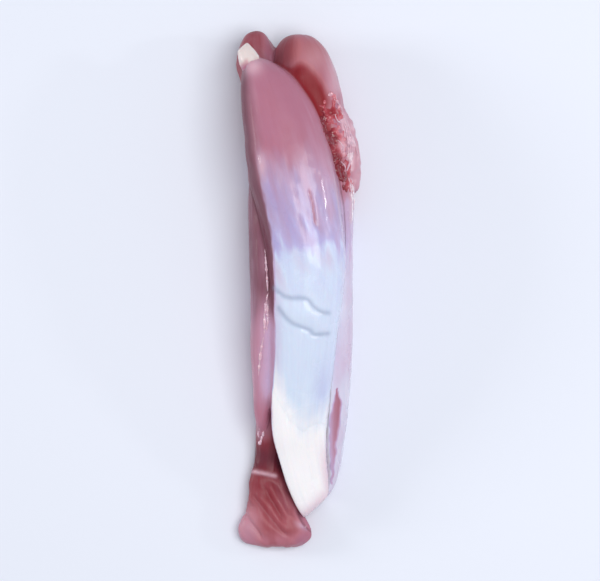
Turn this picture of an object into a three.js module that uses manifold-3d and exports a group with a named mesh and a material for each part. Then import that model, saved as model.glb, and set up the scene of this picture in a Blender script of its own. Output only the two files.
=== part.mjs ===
// A raw boneless lamb shank, lying with its silverskin side up.
//
// A boneless shank is a bundle of muscles that taper into one flat white tendon. The outer head of the
// calf muscle lies on top. The inner head lies under it and shows along the +X side, where its cut edge
// hangs out as a torn fringe. A slim flank muscle runs along the -X side, and the deep muscle underneath
// ends in a loose flap at the heel end. They hang together as one solid of meat. The heel tendon and the
// short tendon stub at the knee end are their own solids, seated in the meat.
//
// Millimetres. +Y points to the knee end, +X to the inner head, +Z up. The shank rests on Z = 0.

import * as THREE from "three";
import { mergeVertices } from "three/addons/utils/BufferGeometryUtils.js";
import Module from "manifold-3d";

const wasm = await Module();
wasm.setup();

// ---- Driving dimensions ----

const seatGap = 0.3; // between a tendon and the meat it is seated in
const middle = [1.2, 0.3]; // X and Y of the bundle's middle, which is brought over the origin
const underside = 1.2; // height at which the soft underside is pressed flat by its own weight

// Each muscle is a spindle. Its spine runs from the knee end to the heel end. Half sizes are at its
// fullest point, a share of the way along, and the two ends taper as (1 - s^power)^fullness.
const outerHead = {
  spine: [[-9.4, 78, 21], [-2.8, 46.6, 22.8], [3.6, 14.6, 23.2], [3.6, -17.6, 20.6], [1.7, -49.8, 14.6], [8.2, -82, 6.6]],
  halfWidth: 14.8,
  halfHeight: 13.4,
  fullest: 0.22,
  knee: { power: 2, fullness: 0.5 },
  heel: { power: 1.4, fullness: 0.48 },
  squareness: 2.3,
  unevenness: 1,
  hook: -7.4, // its knee tip hooks over to the -X side
  // Past its belly the outer head is only the tendon's strap.
  bellyEnd: 0.9,
  bellyTaper: { power: 1.7, fullness: 1 },
  strapHalfHeight: 2.4,
  foldShare: 0.52, // where along it the skin is folded
};
const innerHead = {
  spine: [[-0.5, 85.6, 13.6], [3.6, 54.6, 13.4], [4.9, 23.6, 11.2], [5, -7.4, 9.4], [6.7, -38.4, 7.8], [7.8, -69.4, 5.8]],
  halfWidth: 12.6,
  halfHeight: 12.2,
  fullest: 0.29,
  knee: { power: 2.2, fullness: 0.5 },
  heel: { power: 2, fullness: 0.5 },
  squareness: 2.2,
  unevenness: 1,
};
const flankMuscle = {
  spine: [[-12.6, 54, 17], [-12, 29, 17.4], [-10.2, 4, 16.8], [-10.8, -21, 14.4], [-11.8, -48, 10.6]],
  halfWidth: 5,
  halfHeight: 8.4,
  fullest: 0.5,
  knee: { power: 1.8, fullness: 0.6 },
  heel: { power: 2.4, fullness: 0.6 },
  squareness: 2.1,
  unevenness: 1,
};
const deepMuscle = {
  spine: [[-13, 87, 11], [-9.4, 55, 10.4], [-6, 23, 9.6], [-5.2, -9, 8.6], [-7.6, -41, 7], [-11.6, -73, 5.2]],
  halfWidth: 8.8,
  halfHeight: 9,
  fullest: 0.45,
  knee: { power: 2.2, fullness: 0.46 },
  heel: { power: 1.6, fullness: 0.5 },
  squareness: 2.2,
  unevenness: 1,
};
const heelFlap = {
  spine: [[-10.4, -44, 7], [-10, -58, 6.4], [-7.8, -72, 5], [-6.8, -86.4, 3.8]],
  halfWidth: 12.4,
  halfHeight: 4.6,
  fullest: 0.82,
  knee: { power: 1, fullness: 1.1 },
  heel: { power: 2.2, fullness: 0.5 },
  squareness: 2.3,
  unevenness: 3,
};
const tornFringe = {
  spine: [[10, 69.5, 15], [14, 60.5, 15.4], [17, 51.5, 14], [18.6, 42.5, 12.4], [19.2, 33.5, 11]],
  halfWidth: 3.4,
  halfHeight: 4.8,
  fullest: 0.62,
  knee: { power: 1.6, fullness: 0.6 },
  heel: { power: 2.6, fullness: 0.5 },
  squareness: 2,
  unevenness: 4,
};
const kneeStub = {
  spine: [[-16.8, 83.4, 22.8], [-15.2, 77.2, 24], [-13.6, 71.6, 24.2], [-11, 66, 22]],
  halfWidth: 4.1,
  halfHeight: 2.6,
  fullest: 0.6,
  knee: { power: 1.8, fullness: 0.5 },
  heel: { power: 2, fullness: 0.5 },
  squareness: 2.6,
  unevenness: 1.5,
};

// The heel tendon is the strap end of the outer head. Seen from above its fibres climb along both edges
// of the belly, and seen from the side the meat runs out in a wedge below them.
const tendonTop = { left: -27, middle: -41, right: -36, halfSpan: 13 };
const tendonScarf = 0.6; // how far the joint runs down the shank for each millimetre of depth
const tendonTopHeight = 24; // height of the joint's upper edge
const heelCut = { point: [6.3, -72.6], angle: THREE.MathUtils.degToRad(-47) }; // slanting knife cut across the strap
const stubCut = { point: [-17.2, 81], angle: THREE.MathUtils.degToRad(120) };

// Torn crumbs of cut meat down the fringe.
const tornBits = { count: 13, from: [9.8, 66, 20.8], to: [18, 37, 17], radius: 1.9, scatter: 1.4 };

// Two slanting folds, bowed apart, where the silverskin has slipped and puffed up on the outer head.
const skinFolds = {
  lines: [{ start: [-6.7, 0.8], bow: 1.2 }, { start: [-5.4, -7.2], bow: -1.2 }],
  slope: -0.5,
  length: 16,
  depth: 0.9,
  halfWidth: 1.7,
};

// ---- Shaping ----

// Point at share t of a smooth curve through all the points, evenly spaced in t.
function alongSpine(points, t) {
  const last = points.length - 1;
  const i = Math.min(Math.floor(t * last), last - 1);
  const f = t * last - i;
  const at = (k) => points[Math.min(Math.max(k, 0), last)];
  const [a, b, c, d] = [at(i - 1), at(i), at(i + 1), at(i + 2)];
  return b.map((_, k) =>
    b[k] + 0.5 * f * (c[k] - a[k] + f * (2 * a[k] - 5 * b[k] + 4 * c[k] - d[k] + f * (3 * (b[k] - c[k]) + d[k] - a[k]))),
  );
}

const taper = (s, { power, fullness }) => Math.pow(Math.max(0, 1 - Math.pow(s, power)), fullness);

function swelling(t, fullest, knee, heel, end = 1) {
  return t < fullest ? taper((fullest - t) / fullest, knee) : taper(Math.min(1, (t - fullest) / (end - fullest)), heel);
}

function halfSizes(t, muscle, grow) {
  const { halfWidth, halfHeight, fullest, knee, heel, bellyEnd, bellyTaper, strapHalfHeight } = muscle;
  const width = halfWidth * swelling(t, fullest, knee, heel);
  if (!bellyEnd) return [width + grow, halfHeight * swelling(t, fullest, knee, heel) + grow];
  const belly = halfHeight * swelling(t, fullest, knee, bellyTaper, bellyEnd);
  const strap = strapHalfHeight * Math.min(1, width / strapHalfHeight);
  return [width + grow, Math.pow(Math.pow(belly, 4) + Math.pow(strap, 4), 0.25) + grow];
}

// Soft unevenness of a muscle's girth, from slow waves round and along it.
function girth(angle, t, seed, unevenness) {
  const waves = 0.022 * Math.sin(2 * angle + 9 * t + seed) + 0.018 * Math.sin(3 * angle - 14 * t + 2.1 * seed) +
    0.012 * Math.sin(5 * angle + 23 * t + 3.7 * seed);
  return 1 + unevenness * waves;
}

// How deep the skin's folds cut in at a point seen from above.
function foldDepth(x, y) {
  const { lines, slope, length, depth, halfWidth } = skinFolds;
  return lines.reduce((sum, { start, bow }) => {
    const along = (x - start[0]) / length;
    const off = y - start[1] - slope * (x - start[0]) - bow * Math.sin(Math.PI * along);
    const fade = Math.max(0, 1 - Math.pow(2 * along - 1, 4));
    return sum + depth * fade * Math.exp(-Math.pow(off / halfWidth, 2));
  }, 0);
}

// Shares along a spine where its rings stand, closer together at the round tips and at the folds.
function ringShares(rings, foldShare) {
  const steps = 500;
  const tipReach = 0.05;
  const foldReach = 0.07;
  const passed = [0];
  for (let step = 0; step < steps; step++) {
    const t = (step + 0.5) / steps;
    const tips = Math.exp(-t / tipReach) + Math.exp((t - 1) / tipReach);
    const fold = foldShare ? Math.exp(-Math.pow((t - foldShare) / foldReach, 2)) : 0;
    passed.push(passed[step] + 1 + 1.6 * tips + 1.4 * fold);
  }
  return Array.from({ length: rings + 1 }, (_, ring) =>
    passed.findIndex((sum) => sum >= (passed[steps] * ring) / rings - 1e-9) / steps,
  );
}

function spindle(muscle, { rings, sides, seed = 0, grow = 0 }) {
  const positions = [];
  const indices = [];
  const shares = ringShares(rings, muscle.foldShare);
  for (let ring = 0; ring <= rings; ring++) {
    const t = shares[ring];
    const [x, y, z] = alongSpine(muscle.spine, t);
    const middleX = x + (muscle.hook ?? 0) * Math.pow(Math.max(0, 1 - t / muscle.fullest), 8);
    if (ring === 0 || ring === rings) {
      positions.push(middleX, y + (ring === 0 ? grow : -grow), z);
      continue;
    }
    const [width, height] = halfSizes(t, muscle, grow);
    for (let k = 0; k < sides; k++) {
      const angle = (2 * Math.PI * k) / sides;
      const [c, s] = [Math.cos(angle), Math.sin(angle)];
      const bulge = girth(angle, t, seed, muscle.unevenness);
      const pointX = middleX + width * bulge * Math.sign(c) * Math.pow(Math.abs(c), 2 / muscle.squareness);
      const pointZ = z + height * bulge * Math.sign(s) * Math.pow(Math.abs(s), 2 / muscle.squareness);
      positions.push(pointX, y, muscle.foldShare && s > 0 ? pointZ - foldDepth(pointX, y) * s : pointZ);
    }
  }
  const at = (ring, k) => 1 + (ring - 1) * sides + (k % sides);
  const foot = 1 + (rings - 1) * sides;
  for (let k = 0; k < sides; k++) {
    indices.push(0, at(1, k + 1), at(1, k));
    for (let ring = 1; ring < rings - 1; ring++) {
      indices.push(at(ring, k), at(ring, k + 1), at(ring + 1, k + 1));
      indices.push(at(ring, k), at(ring + 1, k + 1), at(ring + 1, k));
    }
    indices.push(foot, at(rings - 1, k), at(rings - 1, k + 1));
  }
  return new wasm.Manifold(
    new wasm.Mesh({ numProp: 3, vertProperties: new Float32Array(positions), triVerts: new Uint32Array(indices) }),
  );
}

// A three.js geometry as a solid.
function solidOf(geometry) {
  const bare = new THREE.BufferGeometry().setAttribute("position", geometry.getAttribute("position"));
  if (geometry.index) bare.setIndex(geometry.index);
  const merged = mergeVertices(bare, 1e-4);
  return new wasm.Manifold(
    new wasm.Mesh({
      numProp: 3,
      vertProperties: merged.attributes.position.array,
      triVerts: new Uint32Array(merged.index.array),
    }),
  );
}

// The slanting block that holds the heel tendon's share of the outer head.
function tendonBlock(gap) {
  const reach = 120;
  const raise = gap * Math.hypot(1, tendonScarf);
  const { left, middle: mid, right, halfSpan } = tendonTop;
  const outline = new THREE.Shape();
  outline.moveTo(-reach, left + raise);
  outline.lineTo(-halfSpan, left + raise);
  outline.bezierCurveTo(-halfSpan / 2, left + raise, -halfSpan / 2, mid + raise, 2, mid + raise);
  outline.bezierCurveTo(halfSpan / 2, mid + raise, halfSpan / 2, right + raise, halfSpan, right + raise);
  outline.lineTo(reach, right + raise);
  outline.lineTo(reach, -reach);
  outline.lineTo(-reach, -reach);
  outline.closePath();
  const block = new THREE.ExtrudeGeometry(outline, { depth: 60, bevelEnabled: false, curveSegments: 16 });
  block.translate(0, 0, -tendonTopHeight - 10);
  block.applyMatrix4(new THREE.Matrix4().makeShear(0, 0, 0, 0, 0, tendonScarf));
  block.translate(0, 0, tendonTopHeight);
  return solidOf(block);
}

// Everything past a knife cut, seen from above. The angle turns the cut's face from +X towards +Y.
function pastCut({ point, angle }) {
  const size = 60;
  const block = new THREE.BoxGeometry(size, size, size);
  block.translate(size / 2, 0, 0);
  block.rotateZ(angle);
  block.translate(point[0], point[1], size / 4);
  return solidOf(block);
}

const below = solidOf(new THREE.BoxGeometry(400, 400, 40).translate(0, 0, underside - 20));

// A share from -1 to 1 that looks random but is the same every time.
const scatter = (seed) => 2 * THREE.MathUtils.euclideanModulo(Math.sin(12.9898 * seed) * 43758.5453, 1) - 1;

function tornBit(index) {
  const { count, from, to, radius, scatter: reach } = tornBits;
  const bit = new THREE.IcosahedronGeometry(radius * (1 + 0.35 * scatter(index)), 1);
  bit.scale(0.75, 1.4, 0.8);
  bit.rotateX(scatter(index + 0.3));
  bit.rotateZ(0.9 * scatter(index + 0.6));
  const place = from.map((start, k) => start + (index / (count - 1)) * (to[k] - start) + reach * scatter(index + 0.2 * k));
  return solidOf(bit.translate(...place));
}

const join = (solids) => solids.reduce((all, solid) => all.add(solid));

// The largest closed body of a solid: hollows that joining sealed are filled and loose scraps dropped.
const largestBody = (solid) =>
  solid.decompose().reduce((largest, body) => (body.volume() > largest.volume() ? body : largest));

// ---- The pieces ----

function makeHeelTendon(grow) {
  const head = spindle(outerHead, { rings: 64, sides: 40, seed: 1, grow });
  return head.intersect(tendonBlock(grow));
}

function makeMeat() {
  const head = spindle(outerHead, { rings: 64, sides: 40, seed: 1 });
  const torn = join([...Array(tornBits.count).keys()].map(tornBit));
  const under = join([
    spindle(innerHead, { rings: 44, sides: 30, seed: 2 }),
    spindle(flankMuscle, { rings: 34, sides: 20, seed: 3 }),
    spindle(deepMuscle, { rings: 40, sides: 26, seed: 4 }),
    spindle(heelFlap, { rings: 22, sides: 28, seed: 5 }),
    spindle(tornFringe, { rings: 24, sides: 20, seed: 7 }),
    torn,
  ]);
  return largestBody(
    under
      .subtract(makeHeelTendon(seatGap))
      .add(head.subtract(tendonBlock(seatGap)))
      .subtract(spindle(kneeStub, { rings: 16, sides: 16, seed: 6, grow: seatGap }))
      .subtract(below),
  );
}

function meshOf(name, solid, material) {
  const { numProp, vertProperties, triVerts } = solid.getMesh();
  const geometry = new THREE.BufferGeometry();
  const points = new THREE.BufferAttribute(new Float32Array(vertProperties), numProp);
  geometry.setAttribute("position", points);
  geometry.setIndex(new THREE.BufferAttribute(new Uint32Array(triVerts), 1));
  geometry.translate(-middle[0], -middle[1], -underside);
  geometry.computeVertexNormals();
  const mesh = new THREE.Mesh(geometry, material);
  mesh.name = name;
  return mesh;
}

const meatLook = new THREE.MeshStandardMaterial({ color: 0xa8606f, roughness: 0.42, metalness: 0 });
const tendonLook = new THREE.MeshStandardMaterial({ color: 0xf1ecec, roughness: 0.35, metalness: 0 });

const lambShank = new THREE.Group();
lambShank.add(
  meshOf("meat", makeMeat(), meatLook),
  meshOf("heel_tendon", largestBody(makeHeelTendon(0).subtract(pastCut(heelCut))), tendonLook),
  meshOf("knee_tendon_stub", spindle(kneeStub, { rings: 16, sides: 16, seed: 6 }).subtract(pastCut(stubCut)), tendonLook),
);

export default lambShank;
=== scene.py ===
import itertools
import math

import bpy
import numpy as np
from mathutils import Euler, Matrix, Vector, bvhtree


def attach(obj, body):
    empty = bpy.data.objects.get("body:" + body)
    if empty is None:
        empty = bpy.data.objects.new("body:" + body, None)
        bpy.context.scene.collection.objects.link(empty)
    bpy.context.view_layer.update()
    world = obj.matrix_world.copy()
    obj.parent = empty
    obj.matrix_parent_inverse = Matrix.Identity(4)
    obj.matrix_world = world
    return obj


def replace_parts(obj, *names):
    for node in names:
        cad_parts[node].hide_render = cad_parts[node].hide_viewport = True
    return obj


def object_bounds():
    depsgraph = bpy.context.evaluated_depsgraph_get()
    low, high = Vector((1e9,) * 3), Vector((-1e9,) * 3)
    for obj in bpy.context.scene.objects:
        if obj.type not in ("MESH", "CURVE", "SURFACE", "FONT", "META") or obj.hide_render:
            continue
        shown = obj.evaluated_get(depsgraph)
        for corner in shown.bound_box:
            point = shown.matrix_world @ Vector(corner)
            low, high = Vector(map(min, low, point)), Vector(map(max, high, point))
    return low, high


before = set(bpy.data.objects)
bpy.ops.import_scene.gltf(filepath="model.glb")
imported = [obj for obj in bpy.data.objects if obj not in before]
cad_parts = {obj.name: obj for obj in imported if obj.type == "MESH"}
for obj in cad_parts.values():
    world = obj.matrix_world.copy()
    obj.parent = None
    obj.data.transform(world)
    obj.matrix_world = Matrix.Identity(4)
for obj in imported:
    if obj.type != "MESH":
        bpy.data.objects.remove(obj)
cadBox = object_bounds()  # the solids' box, which the modelled pieces are kept inside
print("frame loaded:", sorted(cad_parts))

# A raw boneless lamb shank. Shapes are worked out in millimetres round the bundle's own middle,
# x to the inner head's side, y to the knee end, z up, and turned to metres when a mesh is made.
mm = 0.001
bundleMiddle = np.array((1.2, 0.3, 1.2))  # what the solids are moved by, so that they stand on the origin

# Each muscle is a spindle. Its spine runs from the knee end to the heel end, half sizes are at the
# fullest share of its length, and an end tapers as (1 - s^power)^fullness. Trims slim a side, by y.
muscles = {
    "outerHead": {
        "spine": [(-9.4, 78, 21), (-2.8, 46.6, 22.8), (3.6, 14.6, 23.2),
                  (3.6, -17.6, 20.6), (1.7, -49.8, 14.6), (8.2, -82, 6.6)],
        "halfWidth": 14.8, "halfHeight": 13.4, "fullest": 0.22, "squareness": 2.3, "unevenness": 1, "seed": 1,
        "knee": (2, 0.5), "heel": (1.4, 0.48), "grid": (150, 96),
        "hook": -7.4,  # the knee tip hooks over to the -x side
        "bellyEnd": 0.9, "bellyTaper": (1.7, 1), "strapHalfHeight": 2.4,  # past the belly only a strap runs on
        "trims": {1: ((-70, -45, -25, -5, 15, 38, 46, 54, 62, 68, 74, 79, 82),
                      (0, 1.2, 2.2, 2.4, 1.4, 0.2, 0.7, 1.3, 1.8, 2.9, 3.6, 2, 0)),
                  -1: ((35, 50, 66), (0, 1.3, 0.8))},
    },
    "innerHead": {
        "spine": [(0.6, 85.6, 13.6), (4.3, 54.6, 13.4), (4.9, 23.6, 11.2),
                  (5.4, -7.4, 9.4), (6.9, -38.4, 7.8), (7.8, -69.4, 5.8)],
        "halfWidth": 12.8, "halfHeight": 12.2, "fullest": 0.29, "squareness": 2.2, "unevenness": 1, "seed": 2,
        "knee": (3, 0.5), "heel": (2.2, 0.5),
        "trims": {1: ((-76, -58, -40, 0, 30, 38, 46), (0, -1, -1.5, -1.2, -1.8, -1, 0))},
    },
    "flankMuscle": {
        "spine": [(-12.6, 54, 17), (-12, 29, 17.4), (-10.2, 4, 16.8), (-10.8, -21, 14.4), (-11.8, -48, 10.6)],
        "halfWidth": 5, "halfHeight": 8.4, "fullest": 0.5, "squareness": 2.1, "unevenness": 1, "seed": 3,
        "knee": (1.8, 0.6), "heel": (2.4, 0.6),
    },
    "deepMuscle": {
        "spine": [(-13, 87, 11), (-9.4, 55, 10.4), (-6, 23, 9.6),
                  (-5.2, -9, 8.6), (-7.6, -41, 6.4), (-11.6, -73, 2.4)],
        "halfWidth": 8.8, "halfHeight": 9, "fullest": 0.45, "squareness": 2.2, "unevenness": 1, "seed": 4,
        "knee": (2.2, 0.46), "heel": (1.6, 0.5),
    },
    "heelFlap": {
        "spine": [(-10.4, -44, 7), (-10, -58, 6.4), (-7.8, -72, 5), (-6.8, -86.4, 3.8)],
        "halfWidth": 12.4, "halfHeight": 4.6, "fullest": 0.82, "squareness": 2.3, "unevenness": 3, "seed": 5,
        "knee": (1, 1.1), "heel": (2.2, 0.5),
    },
    "tornFringe": {
        "spine": [(10, 69.5, 15), (14, 60.5, 15.4), (17, 51.5, 14), (18.6, 42.5, 12.4), (19.2, 33.5, 11)],
        "halfWidth": 3.4, "halfHeight": 4.8, "fullest": 0.62, "squareness": 2, "unevenness": 4, "seed": 7,
        "knee": (1.6, 0.6), "heel": (2.6, 0.5),
    },
    "deepEnd": {  # the deep muscle's angular cut end, behind the knee tendon
        "spine": [(-13, 87, 12), (-12.8, 79, 12.4), (-12.2, 70, 12), (-10.5, 56, 10.6)],
        "halfWidth": 7.4, "halfHeight": 7, "fullest": 0.42, "squareness": 2.2, "unevenness": 2, "seed": 8,
        "knee": (1.5, 0.62), "heel": (2, 0.6),
    },
}
# waves round and along every muscle: height, number round it, run along it, and shift by its seed
girthWaves = ((0.022, 2, 9, 1), (0.018, 3, -14, 2.1), (0.012, 5, 23, 3.7))
joins = {"blend": 0.8, "grooveShade": 1.4}  # how far two muscles' looks blend, and how wide the painted shade where they meet is


def linear(hexText):
    parts = [int(hexText[k:k + 2], 16) / 255 for k in (0, 2, 4)]
    return tuple(c / 12.92 if c <= 0.04045 else ((c + 0.055) / 1.055) ** 2.4 for c in parts) + (1,)


# adds a node: each input takes a value, a colour's hex text, a socket, or a node whose first output is meant
def addNode(tree, kind, inputs=None, **settings):
    node = tree.nodes.new(kind)
    for name, value in settings.items():
        setattr(node, name, value)
    for key, value in (inputs or {}).items():
        if isinstance(value, bpy.types.Node):
            value = next(output for output in value.outputs if output.enabled)
        if isinstance(value, bpy.types.NodeSocket):
            tree.links.new(value, node.inputs[key])
        else:
            node.inputs[key].default_value = linear(value) if node.inputs[key].type == "RGBA" else value
    return node


def smoothStep(low, high, value):
    s = np.clip((value - low) / (high - low), 0, 1)
    return s * s * (3 - 2 * s)


def bell(value, width):
    return np.exp(-(value / width) ** 2)


# 1 in the middle of an oval spot seen from above, fading over its reach each way
def oval(x, y, middleX, middleY, wide, long):
    return bell(x - middleX, wide) * bell(y - middleY, long)


# soft noise from -1 to 1 with lumps of about the given size, drawn out along y where squeeze is under 1
def softNoise(points, size, seed, squeeze=1):
    cell = points * (1, squeeze, 1) / size + 37.3
    corner = np.floor(cell)
    part = cell - corner
    part = part ** 3 * (part * (part * 6 - 15) + 10)
    total = np.zeros(len(points))  # each corner of a cell has its own number, the same on every run
    for step in itertools.product((0, 1), repeat=3):
        mixed = np.sin((corner + step) @ (127.1, 311.7, 74.7) + 19.19 * seed) * 43758.5453
        total += (mixed - np.floor(mixed)) * np.prod(np.where(step, part, 1 - part), axis=1)
    return 2 * total - 1


# distance from a drawn line, seen from above: how far off, to which side, and the share along it
def offLine(x, y, corners, smooth=True):
    corners = smoothLine(corners) if smooth else np.array(corners, float)
    lengths = np.hypot(*np.diff(corners, axis=0).T)
    passed = np.concatenate([[0], np.cumsum(lengths)])
    off, share = np.full(len(x), 1e9), np.zeros(len(x))
    for k, (a, b) in enumerate(zip(corners[:-1], corners[1:])):
        along = (b - a) / lengths[k]
        run = np.clip((x - a[0]) * along[0] + (y - a[1]) * along[1], 0, lengths[k])
        awayX, awayY = x - a[0] - run * along[0], y - a[1] - run * along[1]
        away = np.hypot(awayX, awayY) * np.where(along[0] * awayY - along[1] * awayX < 0, -1, 1)
        nearer = np.abs(away) < np.abs(off)
        off = np.where(nearer, away, off)
        share = np.where(nearer, (passed[k] + run) / passed[-1], share)
    return off, share


def alongSpine(spine, t):
    last = len(spine) - 1
    i = np.minimum((t * last).astype(int), last - 1)
    f = (t * last - i)[:, None]
    a, b, c, d = (spine[np.clip(i + k, 0, last)] for k in (-1, 0, 1, 2))
    return b + 0.5 * f * (c - a + f * (2 * a - 5 * b + 4 * c - d + f * (3 * (b - c) + d - a)))


# a smooth line through the drawn corners, seen from above
def smoothLine(corners, steps=30):
    return alongSpine(np.array(corners, float), np.linspace(0, 1, steps))


def swelling(t, fullest, knee, heel, end=1):
    toKnee = np.clip((fullest - t) / fullest, 0, 1)
    toHeel = np.clip((t - fullest) / (end - fullest), 0, 1)
    return np.where(t < fullest, (1 - toKnee ** knee[0]) ** knee[1], (1 - toHeel ** heel[0]) ** heel[1])


# middle, half width and half height of a muscle's section at each share t
def sectionAt(muscle, t):
    fullest, knee, heel = (muscle[key] for key in ("fullest", "knee", "heel"))
    middle = alongSpine(np.array(muscle["spine"], float), t)
    middle[:, 0] += muscle.get("hook", 0) * np.maximum(0, 1 - t / fullest) ** 8
    width = muscle["halfWidth"] * swelling(t, fullest, knee, heel)
    for side, (atY, trims) in muscle.get("trims", {}).items():
        trim = np.interp(middle[:, 1], atY, trims) / 2
        middle[:, 0] -= side * trim
        width = width - trim
    if "bellyEnd" not in muscle:
        return middle, width, muscle["halfHeight"] * swelling(t, fullest, knee, heel)
    belly = muscle["halfHeight"] * swelling(t, fullest, knee, muscle["bellyTaper"], muscle["bellyEnd"])
    strap = muscle["strapHalfHeight"] * np.minimum(1, width / muscle["strapHalfHeight"])
    return middle, width, (belly ** 4 + strap ** 4) ** 0.25


def girth(angle, t, muscle):
    waves = sum(height * np.sin(count * angle + run * t + shift * muscle["seed"])
                for height, count, run, shift in girthWaves)
    return 1 + muscle["unevenness"] * waves


# points and faces of a muscle's closed spindle
def spindle(muscle):
    rings, sides = muscle.get("grid", (110, 72))
    u = np.linspace(0, 1, rings + 1)
    t = 0.6 * (1 - np.cos(np.pi * u)) / 2 + 0.4 * u  # the rings stand closer at both ends
    middle, width, height = sectionAt(muscle, t)
    angle = np.arange(sides) * 2 * np.pi / sides
    c, s = np.cos(angle), np.sin(angle)
    power = 2 / muscle["squareness"]
    points = [middle[:1]]
    for ring in range(1, rings):
        bulge = girth(angle, t[ring], muscle)
        x = middle[ring, 0] + width[ring] * bulge * np.sign(c) * np.abs(c) ** power
        z = middle[ring, 2] + height[ring] * bulge * np.sign(s) * np.abs(s) ** power
        points.append(np.stack([x, np.full(sides, middle[ring, 1]), z], axis=1))
    points = np.concatenate(points + [middle[-1:]])
    foot = len(points) - 1
    faces = []
    for k in range(sides):
        n = (k + 1) % sides
        rows = [(1 + r * sides + k, 1 + r * sides + n) for r in range(rings - 1)]
        faces.append((0, rows[0][1], rows[0][0]))
        faces += [(a, b, d, c) for (a, b), (c, d) in zip(rows[:-1], rows[1:])]
        faces.append((foot, rows[-1][0], rows[-1][1]))
    return points, faces


def readVertices(mesh, what):
    flat = np.zeros(len(mesh.vertices) * 3)
    mesh.vertices.foreach_get(what, flat)
    return flat.reshape(-1, 3)


def pointsOf(mesh):
    return readVertices(mesh, "co") / mm + bundleMiddle


def normalsOf(mesh):
    return readVertices(mesh, "normal")


def movePoints(mesh, points):
    mesh.vertices.foreach_set("co", ((points - bundleMiddle) * mm).ravel())
    mesh.update()


# one mesh object of several closed shapes
def newPiece(name, shapes):
    points, faces = [], []
    for shape, shapeFaces in shapes:
        start = sum(len(p) for p in points)
        points.append(shape)
        faces += [tuple(start + k for k in face) for face in shapeFaces]
    mesh = bpy.data.meshes.new(name)
    mesh.from_pydata(((np.concatenate(points) - bundleMiddle) * mm).tolist(), [], faces)
    piece = bpy.data.objects.new(name, mesh)
    bpy.context.scene.collection.objects.link(piece)
    return piece


# the evaluated mesh takes the place of the piece's modifiers
def bake(piece):
    bpy.context.view_layer.update()
    mesh = bpy.data.meshes.new_from_object(piece.evaluated_get(bpy.context.evaluated_depsgraph_get()))
    piece.modifiers.clear()
    before, piece.data = piece.data, mesh
    bpy.data.meshes.remove(before)
    mesh.name = piece.name
    mesh.shade_smooth()
    return piece


# melts the piece's shapes into one skin of even small faces
def melt(piece, voxel):
    step = piece.modifiers.new("melt", "REMESH")
    step.mode = "VOXEL"
    step.voxel_size = voxel * mm
    bake(piece).data.materials.clear()
    return piece


def cutBy(piece, cutter, operation="DIFFERENCE"):
    step = piece.modifiers.new("cut", "BOOLEAN")
    step.operation = operation
    step.solver = "MANIFOLD"
    step.object = cutter
    bake(piece).data.materials.clear()
    return piece


# draws each point towards the middle of its neighbours, by its own weight
def relax(mesh, weight, rounds):
    points = pointsOf(mesh)
    pairs = np.zeros(len(mesh.edges) * 2, int)
    mesh.edges.foreach_get("vertices", pairs)
    a, b = pairs.reshape(-1, 2).T
    count = np.bincount(pairs, minlength=len(points))[:, None]
    weight = np.broadcast_to(weight, len(points))[:, None]
    for _ in range(rounds):
        total = np.stack([np.bincount(a, points[b, k], len(points)) + np.bincount(b, points[a, k], len(points))
                          for k in range(3)], axis=1)
        points += weight * (total / count - points)
    movePoints(mesh, points)


def writeMask(mesh, name, values):
    kind = "FLOAT" if values.ndim == 1 else "FLOAT_VECTOR"
    layer = mesh.attributes.new(name, kind, "POINT")
    layer.data.foreach_set("value" if kind == "FLOAT" else "vector", values.astype(np.float32).ravel())


# every finish reads the same masks; one that a piece doesn't give is nought
def writeMasks(mesh, fibre, masks):
    for name in ("film", "fresh", "warm", "pale", "grooveShade", "tint", "shadeAndDusk", "creaseShade"):
        writeMask(mesh, name, masks.get(name, np.zeros(len(fibre))))
    writeMask(mesh, "fibre", fibre)


# for each point, how far it is from every muscle, where round it, and its place along the fibres
class Field:
    def __init__(self, points):
        x, y, z = points.T
        shares = np.linspace(0, 1, 400)
        self.turn, self.across, self.far, fibres = {}, {}, {}, []
        for k, (name, muscle) in enumerate(muscles.items()):
            run = alongSpine(np.array(muscle["spine"], float), shares)[:, 1]
            share = np.clip(np.interp(-y, -run, shares), 0.004, 0.996)
            middle, width, height = sectionAt(muscle, share)
            across, up = (x - middle[:, 0]) / width, (z - middle[:, 2]) / height
            n = muscle["squareness"]
            size = (np.abs(across) ** n + np.abs(up) ** n) ** (1 / n)
            beyond = np.maximum(0, np.maximum(y - run[0], run[-1] - y))
            self.far[name] = (size - 1) * np.minimum(width, height) + beyond
            self.turn[name] = (np.degrees(np.arctan2(up, across)) + 90) % 360 - 90  # 0 is +x, 90 up, 180 -x
            self.across[name] = np.clip(across, -1, 1)
            fibres.append(np.stack([across * muscle["halfWidth"] + 60 * k, y, up * muscle["halfHeight"]], axis=1))
        far = np.array(list(self.far.values()))
        share = np.exp(-(far - far.min(axis=0)) / joins["blend"])
        self.weights = share / share.sum(axis=0)
        self.fibre = np.array(fibres)[np.argmin(far, axis=0), np.arange(len(points))]
        # how close a second muscle is, for the painted shade where two muscles meet
        order = np.sort(far, axis=0)
        self.grooveShade = np.exp(-(order[1] - order[0]) / joins["grooveShade"]) * smoothStep(3, 0, order[1])

    # one value for each muscle, blended where two meet
    def mix(self, values):
        return sum(values[name] * self.weights[k] for k, name in enumerate(muscles) if name in values)


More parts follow.
